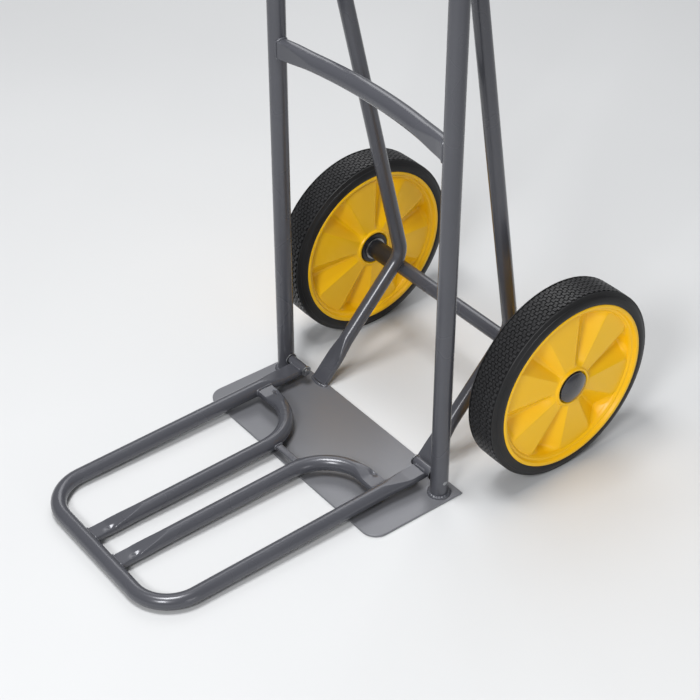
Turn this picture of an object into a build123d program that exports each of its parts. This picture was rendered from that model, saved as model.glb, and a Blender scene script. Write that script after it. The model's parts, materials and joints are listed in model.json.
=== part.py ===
from build123d import *
from math import asin, atan2, cos, degrees, hypot, radians, sin, sqrt, tan
import os

# Hand truck: tubular steel frame on two solid-tyred wheels, with a sheet toe plate and a rack that folds up.
# Millimetres. X runs across the truck, which is symmetric about X = 0. The load side faces -Y and the
# wheels are at +Y. The origin is on the floor, midway between the two uprights.

# Uprights and handles
UPRIGHT_DIAMETER = 22.0
UPRIGHT_WALL = 1.5
UPRIGHT_SPACING = 311.0        # between tube centres
HANDLE_BEND_HEIGHT = 970.0     # floor to the corner of the handle bend
HANDLE_BEND_RADIUS = 75.0
HANDLE_ANGLE = 58.0            # how far the handle leans back from upright
HANDLE_LENGTH = 215.0          # from the corner of the bend to the end of the tube

# Toe plate
PLATE_SIDE_MARGIN = 17.5       # beyond the uprights' centre lines
PLATE_FRONT = 115.0            # ahead of the uprights' centre plane
PLATE_REAR_MARGIN = 5.0        # behind the middle of the braces' feet
PLATE_THICKNESS = 3.0
PLATE_CORNER_RADIUS = 20.0

# Cross bars, bowed backwards to cradle a drum
CROSSBAR_DIAMETER = 22.0
CROSSBAR_WALL = 1.5
# How far each bar lies below the corner of the handle bend.
CROSSBAR_DROPS = {"lower_crossbar": 499.0, "middle_crossbar": 254.0, "upper_crossbar": 65.0}
CROSSBAR_BOW = 14.0            # how far the middle stands behind the ends
CROSSBAR_FLAT_HEIGHT = 27.0    # flattened ends, measured up the upright
CROSSBAR_FLAT_THICKNESS = 13.0
CROSSBAR_FLAT_LENGTH = 14.0
CROSSBAR_TAPER_LENGTH = 18.0

# Rear braces
BRACE_DIAMETER = 19.0
BRACE_WALL = 1.5
BRACE_INSET = 50.5             # from an upright's centre line to its brace
BRACE_FOOT_SETBACK = 17.0      # centre of the foot on the plate, behind the uprights' plane
BRACE_BEND_RADIUS = 32.0
BRACE_TOP_DROP = 132.0         # from the corner of the handle bend to where the brace meets the upright
BRACE_TOP_ANGLE = 20.0         # degrees round the upright, from its inner side to the rear
BRACE_TOP_BITE = 1.5           # how deep the brace's end is notched over the upright
BRACE_FOOT_WIDTH = 26.0
BRACE_FOOT_THICKNESS = 6.5
BRACE_FOOT_LENGTH = 34.0
BRACE_TAPER_LENGTH = 30.0

# Folding rack
RACK_TUBE_DIAMETER = 19.0
RACK_WALL = 1.5
RACK_SIDE_CLEARANCE = 8.5      # between an arm and its upright
RACK_LENGTH = 381.0            # hinge axis to the centre of the front bar
RACK_CORNER_RADIUS = 50.0
RACK_DROP = 4.0                # arms' centre plane below the hinge axis
RACK_FLAT_WIDTH = 23.0
RACK_FLAT_THICKNESS = 9.0
ARM_FLAT_LENGTH = 26.0
ARM_TAPER_LENGTH = 10.0
INNER_TUBE_SPACING = 56.0      # between tube centres
INNER_TUBE_BEND_RADIUS = 64.0
INNER_LEG_SETBACK = 62.0       # hinge axis to the rear legs of the inner tubes
INNER_FLAT_LENGTH = 24.0
INNER_TAPER_LENGTH = 7.0
STRAP_SETBACK = 112.0          # hinge axis to the strap between the inner tubes
STRAP_WIDTH = 9.0
STRAP_THICKNESS = 4.0

# Rack hinge
HINGE_HEIGHT = 24.0
HINGE_PIN_DIAMETER = 8.0
HINGE_SLEEVE_WALL = 2.0
HINGE_SLEEVE_OVERHANG = 3.0    # inner end of the sleeve beyond the arm's flat end
HINGE_WASHER_THICKNESS = 1.5
HINGE_WASHER_RIM = 4.0         # beyond the pin, all round
HINGE_RETAINER_THICKNESS = 1.6
HINGE_RETAINER_RIM = 3.0       # beyond the pin, all round
HINGE_PIN_TAIL = 2.0           # pin beyond its retaining washer

# Wheels and axle
WHEEL_DIAMETER = 250.0
WHEEL_WIDTH = 50.0
WHEEL_OUTSET = 8.0             # wheel's inner face outboard of the upright's centre line
WHEEL_CLEARANCE = 18.0         # between the tyre and the upright
AXLE_DIAMETER = 19.0
AXLE_WALL = 2.5
TYRE_SHOULDER_RADIUS = 9.0
TYRE_HEIGHT = 15.5             # from the rim's visible lip to the tread
RIM_LIP_WIDTH = 3.0            # across the lip, along the axle
RIM_LIP_THICKNESS = 4.5
RIM_SEAT_DEPTH = 5.5           # from the lip down to where the tyre sits
RIM_BARREL_WALL = 6.0          # under the tyre
RIM_DISC_THICKNESS = 26.0
RIM_POCKET_COUNT = 6
RIM_POCKET_DEPTH = 9.0
RIM_POCKET_HUB_MARGIN = 7.0    # from the hub boss to a pocket
RIM_POCKET_BARREL_MARGIN = 5.0 # from a pocket to the barrel
RIM_POCKET_SPAN = 27.0         # degrees
RIM_POCKET_TURN = 18.5         # degrees from the top to the middle of the first pocket
RIM_POCKET_CORNER = 4.0
HUB_BOSS_WALL = 4.0            # round the recess
HUB_BOSS_FLARE = 4.0           # how much wider the boss is where it leaves the disc
HUB_RECESS_MARGIN = 2.5        # round the bush's flange
HUB_RECESS_DEPTH = 6.0
BUSH_WALL = 5.5
BUSH_GAP = 6.0                 # between the two bushes of a hub
BUSH_FLANGE_RIM = 5.5          # beyond the bush's body, all round
INNER_FLANGE_THICKNESS = 6.0   # flush with the rim's inner face
OUTER_FLANGE_THICKNESS = 2.5
SPACER_WALL = 3.0
SPACER_BRACE_GAP = 1.0         # between the brace and the spacer
AXLE_WASHER_RIM = 5.5          # beyond the axle, all round
AXLE_WASHER_THICKNESS = 1.5
AXLE_RING_RIM = 3.5            # beyond the axle, all round
AXLE_RING_THICKNESS = 1.5
AXLE_TAIL = 1.5                # axle beyond its retaining ring
CAP_INSET = 0.5                # inside the edge of the bush's flange
CAP_WALL = 1.8
CAP_EDGE_STAND_OUT = 3.0       # edge of the cap's dome beyond the rim's face
CAP_STAND_OUT = 6.0            # crown of the cap beyond the rim's face

# Grips
GRIP_WALL = 5.0
GRIP_LENGTH = 122.0
GRIP_END_THICKNESS = 5.0
GRIP_END_ROUNDING = 4.0
GRIP_COLLAR_RIM = 4.0          # beyond the sleeve, all round
GRIP_COLLAR_LENGTH = 6.0

# Clearances
RUNNING_FIT = 0.05             # radial, pin in sleeve and axle in bush
SIDE_GAP = 0.3                 # along a shaft, between pieces that turn on each other

# Derived places
upright_x = UPRIGHT_SPACING / 2
upright_r = UPRIGHT_DIAMETER / 2
plate_rear = BRACE_FOOT_SETBACK + PLATE_REAR_MARGIN
brace_x = upright_x - BRACE_INSET
brace_r = BRACE_DIAMETER / 2
rack_r = RACK_TUBE_DIAMETER / 2
arm_x = upright_x - upright_r - RACK_SIDE_CLEARANCE - rack_r
pin_r = HINGE_PIN_DIAMETER / 2
sleeve_r = pin_r + HINGE_SLEEVE_WALL
sleeve_start = arm_x - RACK_FLAT_WIDTH / 2 - HINGE_SLEEVE_OVERHANG
sleeve_end = upright_x - upright_r - HINGE_WASHER_THICKNESS - SIDE_GAP
wheel_r = WHEEL_DIAMETER / 2
wheel_x = upright_x + WHEEL_OUTSET + WHEEL_WIDTH / 2
axle_y = wheel_r + upright_r + WHEEL_CLEARANCE
axle_r = AXLE_DIAMETER / 2
bush_r = axle_r + BUSH_WALL
flange_r = bush_r + BUSH_FLANGE_RIM
recess_r = flange_r + HUB_RECESS_MARGIN
boss_r = recess_r + HUB_BOSS_WALL
lip_r = wheel_r - TYRE_HEIGHT
seat_r = lip_r - RIM_SEAT_DEPTH
barrel_r = seat_r - RIM_BARREL_WALL
recess_floor = WHEEL_WIDTH / 2 - HUB_RECESS_DEPTH
outer_flange_end = recess_floor + OUTER_FLANGE_THICKNESS
grip_r = upright_r + GRIP_WALL


def round_tube(path, radius):
    """Solid bar of this radius along a path of lines and tangent arcs."""
    return sweep(Plane(path @ 0, z_dir=path % 0) * Circle(radius), path=path)


def flattened_end(end, radius, width, thickness, taper, length):
    """Tube end pressed flat: a round-to-flat taper, then a flat stretch, along the plane's normal."""
    start = end * Circle(radius)
    pressed = end * Pos(0, 0, taper) * SlotOverall(width, thickness)
    return loft([start, pressed]) + extrude(pressed, amount=length, dir=end.z_dir)


def mirrored(name, solid, nodes):
    """Store a right-hand piece and its mirror image as two nodes."""
    nodes["right_" + name] = solid
    nodes["left_" + name] = mirror(solid, about=Plane.YZ)


def along_x(radius, start, end, y, z):
    """Cylinder along X between two stations."""
    return Pos((start + end) / 2, y, z) * Rot(0, 90, 0) * Cylinder(radius, abs(end - start))


def ring_x(outer, inner, start, end, y, z):
    """Tube or washer along X between two stations."""
    return along_x(outer, start, end, y, z) - along_x(inner, start, end, y, z)


def upright_path():
    """Centre line of the right upright, from the plate up and back along the handle."""
    lean = radians(HANDLE_ANGLE)
    foot = (upright_x, 0, PLATE_THICKNESS)
    corner = (upright_x, 0, HANDLE_BEND_HEIGHT)
    tip = (upright_x, HANDLE_LENGTH * sin(lean), HANDLE_BEND_HEIGHT + HANDLE_LENGTH * cos(lean))
    return FilletPolyline(foot, corner, tip, radius=HANDLE_BEND_RADIUS)


def brace_points():
    """Foot, bend corner and top of the right brace, and the climb of its lower run.

    The lower run touches the axle from above and in front, and bends just past that place.
    """
    foot_y, foot_z = BRACE_FOOT_SETBACK, PLATE_THICKNESS
    run, rise = axle_y - foot_y, wheel_r - foot_z
    distance = hypot(run, rise)
    climb = atan2(rise, run) + asin((brace_r + axle_r) / distance)
    touch_run = sqrt(distance ** 2 - (brace_r + axle_r) ** 2)
    # At the top the tube lies against the inner rear side of the upright.
    reach = upright_r + brace_r - BRACE_TOP_BITE
    around = radians(BRACE_TOP_ANGLE)
    top = (upright_x - reach * cos(around), reach * sin(around), HANDLE_BEND_HEIGHT - BRACE_TOP_DROP)
    along = Vector(0, cos(climb), sin(climb))
    foot = Vector(brace_x, foot_y, foot_z)
    turn = radians(along.get_angle(Vector(*top) - (foot + along * touch_run)))
    bend = foot + along * (touch_run + BRACE_BEND_RADIUS * tan(turn / 2))
    return foot, bend, top, along


def make_uprights(nodes):
    """Two uprights, each with a hole through it for its hinge pin."""
    path = upright_path()
    solid = round_tube(path, upright_r)
    bore = round_tube(path, upright_r - UPRIGHT_WALL)
    pin_hole = along_x(pin_r, upright_x - UPRIGHT_DIAMETER, upright_x + UPRIGHT_DIAMETER, 0, HINGE_HEIGHT)
    mirrored("upright", solid - bore - pin_hole, nodes)
    return solid


def make_plate(nodes):
    """Toe plate with round front corners."""
    width, depth = 2 * (upright_x + PLATE_SIDE_MARGIN), PLATE_FRONT + plate_rear
    plate = Pos(0, (plate_rear - PLATE_FRONT) / 2, PLATE_THICKNESS / 2) * Box(width, depth, PLATE_THICKNESS)
    front_edges = plate.edges().filter_by(Axis.Z).sort_by(Axis.Y)[:2]
    nodes["toe_plate"] = fillet(front_edges, PLATE_CORNER_RADIUS)


def make_crossbars(nodes):
    """Bowed cross bars whose flattened ends are shaped to the uprights."""
    round_x = upright_x - upright_r - CROSSBAR_FLAT_LENGTH - CROSSBAR_TAPER_LENGTH
    arc = ThreePointArc((-round_x, 0, 0), (0, CROSSBAR_BOW, 0), (round_x, 0, 0))
    end = flattened_end(Plane((round_x, 0, 0), x_dir=(0, 0, 1), z_dir=(1, 0, 0)), CROSSBAR_DIAMETER / 2,
                        CROSSBAR_FLAT_HEIGHT, CROSSBAR_FLAT_THICKNESS, CROSSBAR_TAPER_LENGTH,
                        CROSSBAR_FLAT_LENGTH + upright_r)
    end -= Pos(upright_x, 0, 0) * Cylinder(upright_r, 2 * CROSSBAR_FLAT_HEIGHT)
    bar = round_tube(arc, CROSSBAR_DIAMETER / 2) - round_tube(arc, CROSSBAR_DIAMETER / 2 - CROSSBAR_WALL)
    bar = bar + end + mirror(end, about=Plane.YZ)
    for name, drop in CROSSBAR_DROPS.items():
        nodes[name] = Pos(0, 0, HANDLE_BEND_HEIGHT - drop) * bar


def make_braces(nodes, upright_solid):
    """Bent rear braces, flattened at the foot on the plate and shaped to the upright at the top."""
    foot, bend, top, along = brace_points()
    round_start = foot + along * (BRACE_FOOT_LENGTH + BRACE_TAPER_LENGTH)
    path = FilletPolyline(round_start, bend, top, radius=BRACE_BEND_RADIUS)
    end = Plane(round_start, x_dir=(1, 0, 0), z_dir=-along)
    foot_piece = flattened_end(end, brace_r, BRACE_FOOT_WIDTH, BRACE_FOOT_THICKNESS, BRACE_TAPER_LENGTH,
                               BRACE_FOOT_LENGTH + BRACE_FOOT_THICKNESS)
    below_plate_top = Pos(brace_x, 0, PLATE_THICKNESS - 50) * Box(100, 200, 100)
    brace = round_tube(path, brace_r) + foot_piece - below_plate_top
    mirrored("brace", brace - round_tube(path, brace_r - BRACE_WALL) - upright_solid, nodes)


def make_axle(nodes):
    """Axle tube through both wheels, with spacers, washers and push-on rings."""
    ring_start = wheel_x + outer_flange_end + SIDE_GAP
    ring_end = ring_start + AXLE_RING_THICKNESS
    axle_end = ring_end + AXLE_TAIL
    washer_end = wheel_x - WHEEL_WIDTH / 2 - SIDE_GAP
    washer_start = washer_end - AXLE_WASHER_THICKNESS
    spacer_start = brace_x + brace_r + SPACER_BRACE_GAP
    nodes["axle_tube"] = ring_x(axle_r, axle_r - AXLE_WALL, -axle_end, axle_end, axle_y, wheel_r)
    for name, rim, start, end in (("axle_washer", AXLE_WASHER_RIM, washer_start, washer_end),
                                  ("axle_spacer", SPACER_WALL, spacer_start, washer_start),
                                  ("axle_ring", AXLE_RING_RIM, ring_start, ring_end)):
        mirrored(name, ring_x(axle_r + rim, axle_r, start, end, axle_y, wheel_r), nodes)


def turned(points, x):
    """Turn a closed outline of (station, radius) points about the wheel axis at this station."""
    outline = make_face(Polyline(*points, close=True))
    return Pos(x, axle_y, wheel_r) * revolve(outline, axis=Axis.X)


def make_rim():
    """Moulded rim about the X axis: lips, barrel, disc with wedge pockets on both faces, and hub."""
    edge, disc = WHEEL_WIDTH / 2, RIM_DISC_THICKNESS / 2
    seat_edge = edge - RIM_LIP_WIDTH
    step = (lip_r - RIM_LIP_THICKNESS + barrel_r) / 2
    face = [(edge, lip_r), (edge, lip_r - RIM_LIP_THICKNESS), ((edge + disc) / 2, step), (disc, barrel_r),
            (disc, boss_r + HUB_BOSS_FLARE), (edge, boss_r), (edge, recess_r), (recess_floor, recess_r),
            (recess_floor, bush_r)]
    seat_line = [(-seat_edge, lip_r), (-seat_edge, seat_r), (seat_edge, seat_r), (seat_edge, lip_r)]
    outline = face + [(-x, r) for x, r in reversed(face)] + seat_line
    rim = revolve(make_face(Polyline(*outline, close=True)), axis=Axis.X)
    half = radians(RIM_POCKET_SPAN / 2)
    inner, outer = boss_r + RIM_POCKET_HUB_MARGIN, barrel_r - RIM_POCKET_BARREL_MARGIN
    far_x, far_y = 2 * outer * sin(half), 2 * outer * cos(half)
    wedge = make_face(Polyline((0, 0), (-far_x, far_y), (far_x, far_y), close=True))
    sector = (Circle(outer) - Circle(inner)) & wedge
    sector = fillet(sector.vertices(), RIM_POCKET_CORNER)
    pocket = extrude(Plane.YZ * sector, amount=RIM_POCKET_DEPTH, both=True)
    for k in range(RIM_POCKET_COUNT):
        # Seen from +X, the pockets are counted clockwise from the top.
        turn = Rot(-(RIM_POCKET_TURN + 360 / RIM_POCKET_COUNT * k), 0, 0)
        for side in (-1, 1):
            rim -= turn * Pos(side * disc, 0, 0) * pocket
    return rim


def make_tyre():
    """Solid tyre about the X axis, seated between the rim's lips."""
    tread = Pos(0, (wheel_r + lip_r) / 2) * Rectangle(WHEEL_WIDTH, wheel_r - lip_r)
    tread = fillet(tread.vertices().group_by(Axis.Y)[-1], TYRE_SHOULDER_RADIUS)
    base = Pos(0, (seat_r + lip_r) / 2) * Rectangle(WHEEL_WIDTH - 2 * RIM_LIP_WIDTH, lip_r - seat_r)
    return revolve(tread + base, axis=Axis.X)


def make_cap():
    """Domed hub cap about the X axis, standing on the outer bush's flange."""
    edge_out = WHEEL_WIDTH / 2 + CAP_EDGE_STAND_OUT
    crown = WHEEL_WIDTH / 2 + CAP_STAND_OUT
    cap_r = flange_r - CAP_INSET
    hollow = cap_r - CAP_WALL
    rise = crown - edge_out
    dome_r = (cap_r ** 2 + rise ** 2) / (2 * rise)
    half_way = crown - dome_r + sqrt(dome_r ** 2 - (cap_r / 2) ** 2)
    dome = Polyline((outer_flange_end, hollow), (outer_flange_end, cap_r), (edge_out, cap_r))
    roof = ThreePointArc((edge_out, cap_r), (half_way, cap_r / 2), (crown, 0))
    ceiling = edge_out - CAP_WALL
    inside = Polyline((crown, 0), (ceiling, 0), (ceiling, hollow), (outer_flange_end, hollow))
    return revolve(make_face(dome + roof + inside), axis=Axis.X)


def make_wheels(nodes):
    """Rims, tyres, hub bushes and caps of both wheels."""
    rim, tyre = make_rim(), make_tyre()
    bore = axle_r + RUNNING_FIT
    tuck = BUSH_GAP / 2
    for side, name in ((1, "right"), (-1, "left")):
        at = side * wheel_x
        place = Pos(at, axle_y, wheel_r)
        nodes[name + "_rim"] = place * rim
        nodes[name + "_tyre"] = place * tyre
        for bush, out, flange_end in (("_inner_bush", -side, recess_floor + INNER_FLANGE_THICKNESS),
                                      ("_outer_bush", side, outer_flange_end)):
            outline = ((tuck, bore), (tuck, bush_r), (recess_floor, bush_r), (recess_floor, flange_r),
                       (flange_end, flange_r), (flange_end, bore))
            nodes[name + bush] = turned([(out * x, r) for x, r in outline], at)
    mirrored("hub_cap", Pos(wheel_x, axle_y, wheel_r) * make_cap(), nodes)


def make_grips(nodes):
    """Closed rubber sleeves over the ends of the handles."""
    path = upright_path()
    tip = Plane(path @ 1, z_dir=path % 1)
    start = GRIP_END_THICKNESS - GRIP_LENGTH
    sleeve = Pos(0, 0, (start + GRIP_END_THICKNESS) / 2) * Cylinder(grip_r, GRIP_LENGTH)
    sleeve = fillet(sleeve.edges().sort_by(Axis.Z)[-1], GRIP_END_ROUNDING)
    collar = Cylinder(grip_r + GRIP_COLLAR_RIM, GRIP_COLLAR_LENGTH)
    collar = Pos(0, 0, start + GRIP_COLLAR_LENGTH / 2) * collar
    bore = Pos(0, 0, start / 2) * Cylinder(upright_r, -start)
    mirrored("grip", tip * (sleeve + collar - bore), nodes)


def make_hinges(nodes):
    """Fixed half of each rack hinge: pin through the upright, washer and retaining washer."""
    inside = upright_x - upright_r
    retainer_end = sleeve_start - SIDE_GAP
    retainer_start = retainer_end - HINGE_RETAINER_THICKNESS
    pin_end = upright_x + sqrt(upright_r ** 2 - pin_r ** 2)
    mirrored("hinge_pin", along_x(pin_r, retainer_start - HINGE_PIN_TAIL, pin_end, 0, HINGE_HEIGHT), nodes)
    for name, rim, start, end in (
            ("hinge_washer", HINGE_WASHER_RIM, inside - HINGE_WASHER_THICKNESS, inside),
            ("hinge_retainer", HINGE_RETAINER_RIM, retainer_start, retainer_end)):
        mirrored(name, ring_x(pin_r + rim, pin_r, start, end, 0, HINGE_HEIGHT), nodes)


def rack_place():
    """Where the level rack goes: on the hinge axis, tipped until the front bar meets the floor."""
    reach = hypot(RACK_LENGTH, RACK_DROP)
    tip = degrees(asin((HINGE_HEIGHT - rack_r) / reach) - atan2(RACK_DROP, RACK_LENGTH))
    return Pos(0, 0, HINGE_HEIGHT) * Rot(tip, 0, 0)


def make_rack(nodes):
    """Folding rack, built level about its hinge axis and then put in its place."""
    place, low = rack_place(), -RACK_DROP
    round_end = -(ARM_FLAT_LENGTH + ARM_TAPER_LENGTH)
    loop = FilletPolyline((-arm_x, round_end, low), (-arm_x, -RACK_LENGTH, low), (arm_x, -RACK_LENGTH, low),
                          (arm_x, round_end, low), radius=RACK_CORNER_RADIUS)
    loop_solid = round_tube(loop, rack_r)
    sleeve = along_x(sleeve_r, sleeve_start, sleeve_end, 0, 0)
    pin_bore = along_x(pin_r + RUNNING_FIT, sleeve_start, sleeve_end, 0, 0)
    arm_plane = Plane((arm_x, round_end, low), x_dir=(1, 0, 0), z_dir=(0, 1, 0))
    arm_end = flattened_end(arm_plane, rack_r, RACK_FLAT_WIDTH, RACK_FLAT_THICKNESS, ARM_TAPER_LENGTH,
                            ARM_FLAT_LENGTH) - sleeve
    frame = loop_solid + arm_end + mirror(arm_end, about=Plane.YZ) - round_tube(loop, rack_r - RACK_WALL)

    inner_x = INNER_TUBE_SPACING / 2
    front = -(RACK_LENGTH - rack_r - INNER_FLAT_LENGTH - INNER_TAPER_LENGTH)
    leg_end = inner_x + INNER_TUBE_BEND_RADIUS + 1
    path = FilletPolyline((inner_x, front, low), (inner_x, -INNER_LEG_SETBACK, low),
                          (leg_end, -INNER_LEG_SETBACK, low), radius=INNER_TUBE_BEND_RADIUS)
    tube_solid = round_tube(path, rack_r)
    front_plane = Plane((inner_x, front, low), x_dir=(1, 0, 0), z_dir=(0, -1, 0))
    front_end = flattened_end(front_plane, rack_r, RACK_FLAT_WIDTH, RACK_FLAT_THICKNESS, INNER_TAPER_LENGTH,
                              INNER_FLAT_LENGTH + rack_r)
    leg_plane = Plane((leg_end, -INNER_LEG_SETBACK, low), x_dir=(0, 1, 0), z_dir=(1, 0, 0))
    leg = arm_x - leg_end - INNER_TAPER_LENGTH
    rear_end = flattened_end(leg_plane, rack_r, RACK_FLAT_WIDTH, RACK_FLAT_THICKNESS, INNER_TAPER_LENGTH, leg)
    inner = tube_solid + front_end + rear_end - loop_solid - round_tube(path, rack_r - RACK_WALL)
    strap = Pos(0, -STRAP_SETBACK, low) * Box(INNER_TUBE_SPACING + rack_r, STRAP_WIDTH, STRAP_THICKNESS)
    strap -= tube_solid + mirror(tube_solid, about=Plane.YZ)

    nodes["rack_frame"] = place * frame
    nodes["rack_strap"] = place * strap.solids().sort_by(SortBy.VOLUME)[-1]
    mirrored("inner_tube", place * inner, nodes)
    mirrored("hinge_sleeve", place * (sleeve - pin_bore), nodes)


def main():
    """Build every piece and write one STEP file for each."""
    nodes = {}
    upright_solid = make_uprights(nodes)
    make_plate(nodes)
    make_crossbars(nodes)
    make_braces(nodes, upright_solid)
    make_axle(nodes)
    make_wheels(nodes)
    make_grips(nodes)
    make_hinges(nodes)
    make_rack(nodes)
    os.makedirs("parts", exist_ok=True)
    for name, solid in nodes.items():
        export_step(solid, f"parts/{name}.step")


main()
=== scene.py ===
"""Looks of a folding hand truck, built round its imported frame.

The frame fixes every place and every joint. Each class below builds one sub-assembly as finished meshes
in the same place as the plain solids it stands for, and dresses it with a procedural finish. Lengths are
metres, with millimetre sizes written as a number times MM.
"""

import json
import logging
import math
from dataclasses import dataclass, field, replace
from enum import Enum
from typing import Any, Iterable, Sequence

import bmesh
import bpy
import numpy as np
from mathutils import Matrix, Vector


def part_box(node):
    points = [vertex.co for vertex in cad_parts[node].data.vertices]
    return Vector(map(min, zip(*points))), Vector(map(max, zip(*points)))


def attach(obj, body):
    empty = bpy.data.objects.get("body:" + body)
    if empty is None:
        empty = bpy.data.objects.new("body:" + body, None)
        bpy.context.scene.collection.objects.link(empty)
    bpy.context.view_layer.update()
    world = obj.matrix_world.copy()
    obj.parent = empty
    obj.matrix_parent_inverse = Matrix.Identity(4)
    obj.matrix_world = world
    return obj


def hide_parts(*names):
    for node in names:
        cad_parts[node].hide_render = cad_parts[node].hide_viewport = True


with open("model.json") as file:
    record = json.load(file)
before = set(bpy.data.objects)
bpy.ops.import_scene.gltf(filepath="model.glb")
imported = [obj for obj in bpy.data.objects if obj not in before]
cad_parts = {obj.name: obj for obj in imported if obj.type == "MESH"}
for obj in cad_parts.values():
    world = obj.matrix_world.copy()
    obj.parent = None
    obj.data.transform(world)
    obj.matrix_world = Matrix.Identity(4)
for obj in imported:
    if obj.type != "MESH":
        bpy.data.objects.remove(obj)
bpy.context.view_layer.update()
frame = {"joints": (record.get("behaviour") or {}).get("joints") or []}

MM = 0.001
LOG = logging.getLogger("hand_truck")
SIDES = {"right": 1, "left": -1}


class Body(Enum):
    """The rigid bodies of the truck, by their names in the frame."""

    FRAME = "frame"
    RACK = "rack"
    LEFT_WHEEL = "left_wheel"
    RIGHT_WHEEL = "right_wheel"


class Slot(Enum):
    """The material slots of the record."""

    TUBE = "frame_coat"
    PLATE = "plate_coat"
    ZINC = "zinc_steel"
    RIM = "rim_plastic"
    TYRE = "tyre_rubber"
    NYLON = "black_plastic"
    GRIP = "grip_rubber"


# ---------------------------------------------------------------------------------------------------------
# Finishes

# Stretches of the noise over which a shade turns to the other and gloss goes from high to low, and the
# stretch of Pointiness, 0.5 on a flat face, over which a crest turns to bare wear.
TINT_SPAN = (0.15, 0.85)
GLOSS_SPAN = (0.1, 0.9)
CREST_SPAN = (0.53, 0.62)


def linear(hex_colour: str) -> tuple[float, float, float, float]:
    """Turn an sRGB hex colour into linear RGBA.

    Args:
        hex_colour: Six hex digits, with or without a leading hash.

    Returns:
        Linear red, green, blue and an alpha of 1.
    """
    digits = hex_colour.lstrip("#")
    channels = [int(digits[k : k + 2], 16) / 255 for k in (0, 2, 4)]
    curve = [c / 12.92 if c <= 0.04045 else ((c + 0.055) / 1.055) ** 2.4 for c in channels]
    return (*curve, 1.0)


def add_node(tree: bpy.types.NodeTree, kind: str, settings: dict[str, Any] | None = None,
             links: dict[str, Any] | None = None) -> bpy.types.Node:
    """Add one shader node with its settings and its incoming links.

    Args:
        tree: The node tree to add to.
        kind: Blender's identifier of the node type.
        settings: Values by name. A name that is an input socket sets that socket, and any other an attribute.
        links: Output sockets by the name or number of the input that each goes into.

    Returns:
        The new node.
    """
    node = tree.nodes.new(kind)
    for name, value in (settings or {}).items():
        if name in node.inputs:
            node.inputs[name].default_value = value
        else:
            setattr(node, name, value)
    for name, socket in (links or {}).items():
        tree.links.new(socket, node.inputs[name])
    return node


@dataclass(frozen=True)
class Finish:
    """A real material and how its surface was made.

    Attributes:
        name: Common name of the material and its finish.
        shade: Body colour.
        light_shade: Colour of the paler patches.
        roughness: Roughness of a clean face.
        roughness_spread: How far roughness wanders up and down.
        metallic: Metallic share.
        ior: Index of refraction; metals keep the default.
        specular: Strength of the plain surface reflection, 0.5 where nothing dulls it.
        mottle_mm: Size of the patches of colour and gloss.
        grain_mm: Size of the fine relief, such as orange peel or moulded grain.
        grain_depth_mm: Depth of the fine relief.
        wave_mm: Size of the slow unevenness of the surface.
        wave_depth_mm: Depth of the slow unevenness.
        coat: Weight of a clear, glossy top film.
        coat_roughness: Roughness of that film.
        wear_shade: Colour that rubbed edges and crests turn to.
        wear: How strongly edges show it.
    """

    name: str
    shade: str
    light_shade: str
    roughness: float
    roughness_spread: float = 0.05
    metallic: float = 0.0
    ior: float = 1.5
    mottle_mm: float = 60.0
    grain_mm: float = 1.0
    grain_depth_mm: float = 0.01
    wave_mm: float = 30.0
    wave_depth_mm: float = 0.02
    coat: float = 0.0
    coat_roughness: float = 0.1
    wear_shade: str = "808080"
    wear: float = 0.0
    specular: float = 0.5

    def build(self) -> bpy.types.Material:
        """Make the node material.

        Returns:
            The material, with colour, roughness and relief all driven by procedural noise.
        """
        material = bpy.data.materials.new(self.name)
        material.use_nodes = True
        tree = material.node_tree
        tree.nodes.clear()
        place = add_node(tree, "ShaderNodeTexCoord").outputs["Object"]
        patches, grain, wave = (
            add_node(tree, "ShaderNodeTexNoise", {"Scale": 1 / (size * MM), "Detail": detail},
                     {"Vector": place})
            for size, detail in ((self.mottle_mm, 2.0), (self.grain_mm, 3.0), (self.wave_mm, 2.0)))
        tint = add_node(tree, "ShaderNodeValToRGB", {}, {"Fac": patches.outputs["Fac"]})
        for stop, share, shade in zip(tint.color_ramp.elements, TINT_SPAN, (self.shade, self.light_shade)):
            stop.position = share
            stop.color = linear(shade)
        colour = tint.outputs["Color"]
        if self.wear > 0:
            edges = add_node(tree, "ShaderNodeNewGeometry").outputs["Pointiness"]
            rubbed = add_node(tree, "ShaderNodeMapRange",
                              {"From Min": CREST_SPAN[0], "From Max": CREST_SPAN[1], "To Max": self.wear},
                              {"Value": edges})
            broken = add_node(tree, "ShaderNodeMath", {"operation": "MULTIPLY"},
                              {0: rubbed.outputs["Result"], 1: grain.outputs["Fac"]})
            colour = add_node(tree, "ShaderNodeMix", {"data_type": "RGBA"},
                              {"Factor": broken.outputs["Value"], 6: colour}).outputs[2]
            colour.node.inputs[7].default_value = linear(self.wear_shade)
        gloss = add_node(tree, "ShaderNodeMapRange",
                         {"From Min": GLOSS_SPAN[0], "From Max": GLOSS_SPAN[1],
                          "To Min": self.roughness - self.roughness_spread,
                          "To Max": self.roughness + self.roughness_spread},
                         {"Value": patches.outputs["Fac"]})
        slow = add_node(tree, "ShaderNodeBump", {"Distance": self.wave_depth_mm * MM, "Strength": 1.0},
                        {"Height": wave.outputs["Fac"]})
        fine = add_node(tree, "ShaderNodeBump", {"Distance": self.grain_depth_mm * MM, "Strength": 1.0},
                        {"Height": grain.outputs["Fac"], "Normal": slow.outputs["Normal"]})
        settings = {"Metallic": self.metallic, "Coat Weight": self.coat,
                    "Coat Roughness": self.coat_roughness, "Specular IOR Level": self.specular}
        if self.metallic < 1:
            settings["IOR"] = self.ior
        surface = add_node(tree, "ShaderNodeBsdfPrincipled", settings,
                           {"Base Color": colour, "Roughness": gloss.outputs["Result"],
                            "Normal": fine.outputs["Normal"]})
        add_node(tree, "ShaderNodeOutputMaterial", {}, {"Surface": surface.outputs["BSDF"]})
        return material


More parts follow.
